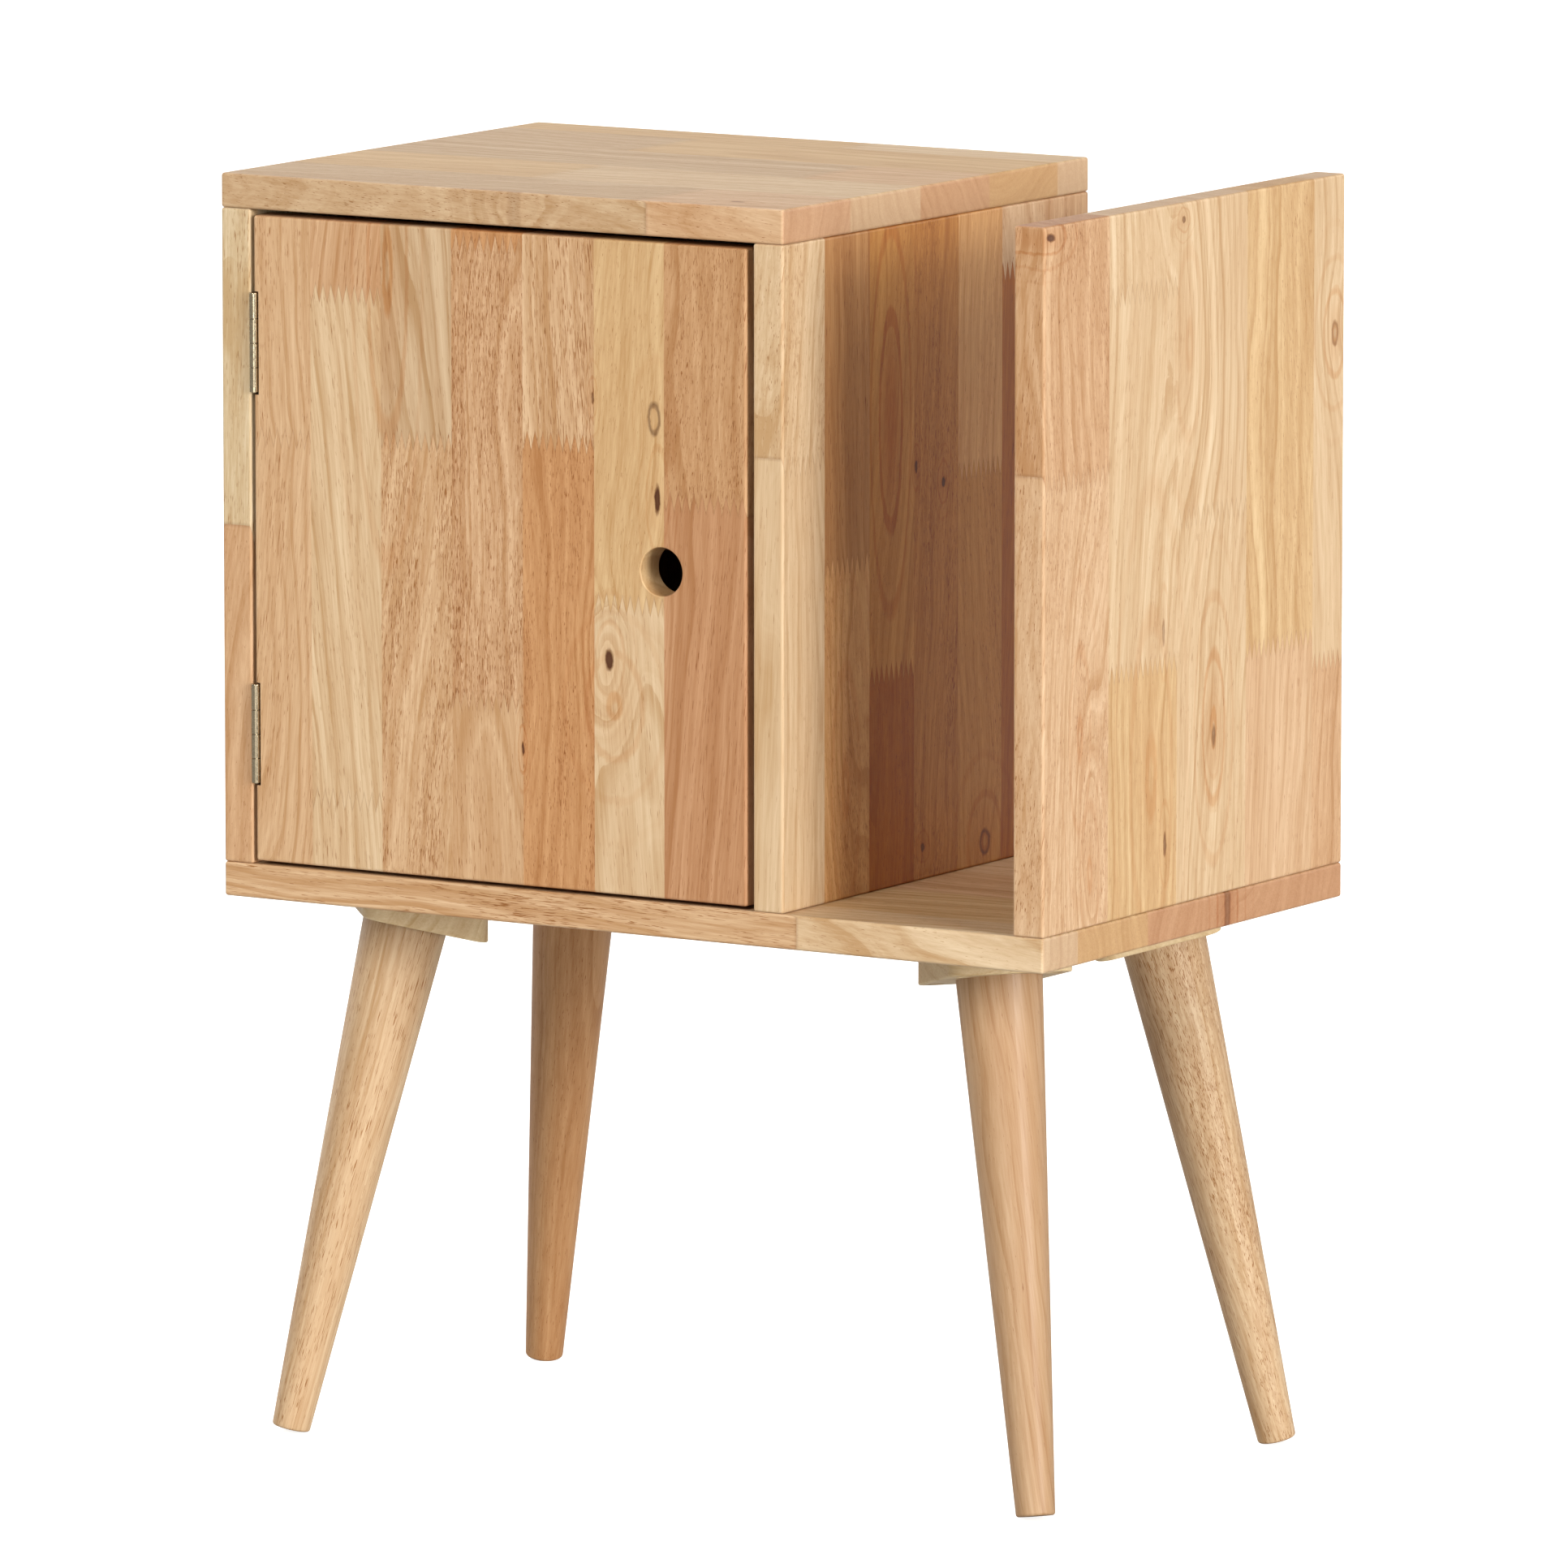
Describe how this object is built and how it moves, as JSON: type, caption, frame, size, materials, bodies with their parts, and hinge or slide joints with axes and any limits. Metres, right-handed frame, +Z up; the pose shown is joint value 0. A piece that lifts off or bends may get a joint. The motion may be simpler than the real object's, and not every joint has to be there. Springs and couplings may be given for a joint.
{
  "type": "storage side table",
  "caption": "Small solid wood side table on splayed tapered legs: a cabinet with a hinged inset door and a finger hole, and an open slot for magazines beside it.",
  "frame": {"origin": "on the floor under the middle of the bounding box, the hinge barrels at the front included", "axes": "+X to the right seen from the door's side, +Y to the back, +Z up"},
  "size_m": [0.496, 0.3056, 0.6645],
  "materials": {
    "rubberwood": "edge-glued finger-jointed staves, satin clear lacquer",
    "plywood": "thin sanded plywood, clear sealed",
    "beech": "plain turned rod",
    "nickel_plated_steel": "satin nickel plate",
    "zinc_plated_steel": "bright zinc plate",
    "catch_plastic": "moulded, fine matt",
    "ferrite": "pressed and sintered"
  },
  "bodies": {
    "carcass": {"top_panel": "rubberwood", "base_panel": "rubberwood", "left_side_panel": "rubberwood", "divider_panel": "rubberwood", "outer_panel": "rubberwood", "back_panel": "plywood", "lower_hinge_cabinet_leaf": "nickel_plated_steel", "lower_hinge_pin": "nickel_plated_steel", "upper_hinge_cabinet_leaf": "nickel_plated_steel", "upper_hinge_pin": "nickel_plated_steel", "hinge_cabinet_screws": "nickel_plated_steel", "catch_body": "catch_plastic", "catch_magnet": "ferrite", "catch_pole_plates": "zinc_plated_steel", "catch_screws": "zinc_plated_steel", "cam_bolts": "zinc_plated_steel", "cam_locks": "zinc_plated_steel", "top_dowels": "beech", "base_dowels": "beech", "side_panel_screws": "zinc_plated_steel", "outer_panel_screws": "zinc_plated_steel", "front_left_leg_block": "rubberwood", "front_right_leg_block": "rubberwood", "back_left_leg_block": "rubberwood", "back_right_leg_block": "rubberwood", "front_left_leg": "rubberwood", "front_right_leg": "rubberwood", "back_left_leg": "rubberwood", "back_right_leg": "rubberwood", "hanger_bolts": "zinc_plated_steel", "leg_inserts": "zinc_plated_steel", "leg_block_screws": "zinc_plated_steel"},
    "door": {"door": "rubberwood", "lower_hinge_door_leaf": "nickel_plated_steel", "upper_hinge_door_leaf": "nickel_plated_steel", "hinge_door_screws": "nickel_plated_steel", "strike_plate": "zinc_plated_steel", "strike_screw": "zinc_plated_steel"}
  },
  "joints": [
    {"name": "door_hinge", "type": "hinge", "parent": "carcass", "child": "door", "pos_m": [-0.22775, -0.15052, 0.4749], "axis": [0, 0, -1], "range_deg": [0, 180]}
  ]
}
